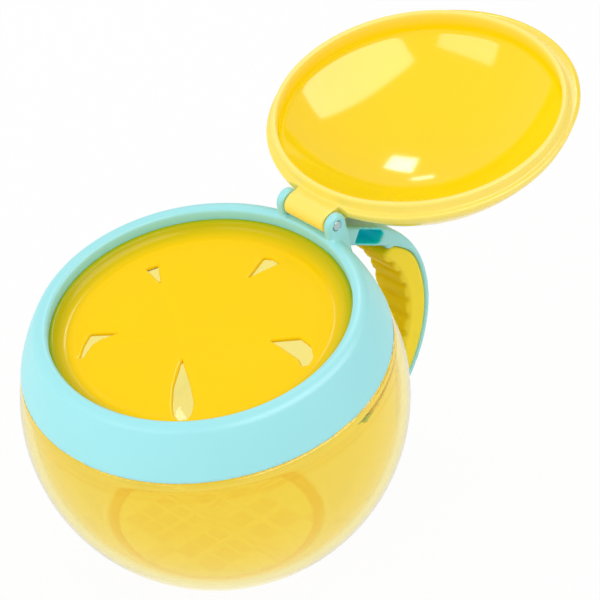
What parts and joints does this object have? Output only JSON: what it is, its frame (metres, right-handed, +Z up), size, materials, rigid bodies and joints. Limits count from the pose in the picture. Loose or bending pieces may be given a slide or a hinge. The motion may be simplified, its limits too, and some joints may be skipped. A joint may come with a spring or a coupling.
{
  "type": "toddler snack container",
  "caption": "Ball-shaped snack cup with soft push-through flaps in a tilted screw collar, a hinged dome lid and a hooked carrying handle.",
  "frame": {"origin": "centre of the bowl's flat base, on the surface it stands on", "axes": "+Z up; +Y to the back, where the lid's hinge and the handle are; +X along the lid's hinge pin"},
  "size_m": [0.09, 0.1519, 0.0923],
  "materials": {
    "tinted_clear": "clear, tinted yellow, gloss",
    "mint": "satin gloss",
    "yellow_lid": "gloss, slightly translucent",
    "yellow_grip": "satin, soft",
    "yellow_soft": "satin, soft",
    "clear_soft": "matt, soft",
    "steel": "satin"
  },
  "bodies": {
    "bowl": {"bowl": "tinted_clear"},
    "seal": {"seal_ring": "clear_soft"},
    "collar": {"collar": "mint", "handle_grip": "yellow_grip", "flap_ring": "yellow_soft", "hinge_pin": "steel"},
    "flap_1": {"flap_1": "yellow_soft"},
    "flap_2": {"flap_2": "yellow_soft"},
    "flap_3": {"flap_3": "yellow_soft"},
    "flap_4": {"flap_4": "yellow_soft"},
    "flap_5": {"flap_5": "yellow_soft"},
    "lid": {"lid": "yellow_lid"}
  },
  "joints": [
    {"name": "collar_lift", "type": "slide", "parent": "bowl", "child": "seal", "axis": [0, -0.1908, 0.9816], "range_m": [0, 0.012]},
    {"name": "collar_turn", "type": "hinge", "parent": "seal", "child": "collar", "pos_m": [0, 0, 0.0374], "axis": [0, -0.1908, 0.9816], "range_deg": [0, 360]},
    {"name": "lid_swing", "type": "hinge", "parent": "collar", "child": "lid", "pos_m": [0, 0.03164, 0.07299], "axis": [1, 0, 0], "range_deg": [0, 180]},
    {"name": "flap_1_bend", "type": "hinge", "parent": "collar", "child": "flap_1", "pos_m": [0.02205, -0.01179, 0.05599], "axis": [-0.342, -0.9224, -0.1793], "range_deg": [-20, 65], "stiffness_Nm_per_rad": 0.01},
    {"name": "flap_2_bend", "type": "hinge", "parent": "collar", "child": "flap_2", "pos_m": [0.01444, 0.01424, 0.06105], "axis": [0.788, -0.6044, -0.1175], "range_deg": [-20, 65], "stiffness_Nm_per_rad": 0.01},
    {"name": "flap_3_bend", "type": "hinge", "parent": "collar", "child": "flap_3", "pos_m": [-0.01312, 0.01518, 0.06123], "axis": [0.829, 0.5489, 0.1067], "range_deg": [-20, 65], "stiffness_Nm_per_rad": 0.01},
    {"name": "flap_4_bend", "type": "hinge", "parent": "collar", "child": "flap_4", "pos_m": [-0.02255, -0.01026, 0.05629], "axis": [-0.2756, 0.9436, 0.1834], "range_deg": [-20, 65], "stiffness_Nm_per_rad": 0.01},
    {"name": "flap_5_bend", "type": "hinge", "parent": "collar", "child": "flap_5", "pos_m": [-0.00082, -0.02693, 0.05305], "axis": [-0.9994, 0.0343, 0.0067], "range_deg": [-20, 65], "stiffness_Nm_per_rad": 0.01}
  ],
  "couplings": [
    {"joint": "collar_lift", "follows": "collar_turn", "m_per_rad": 0.0019099}
  ]
}
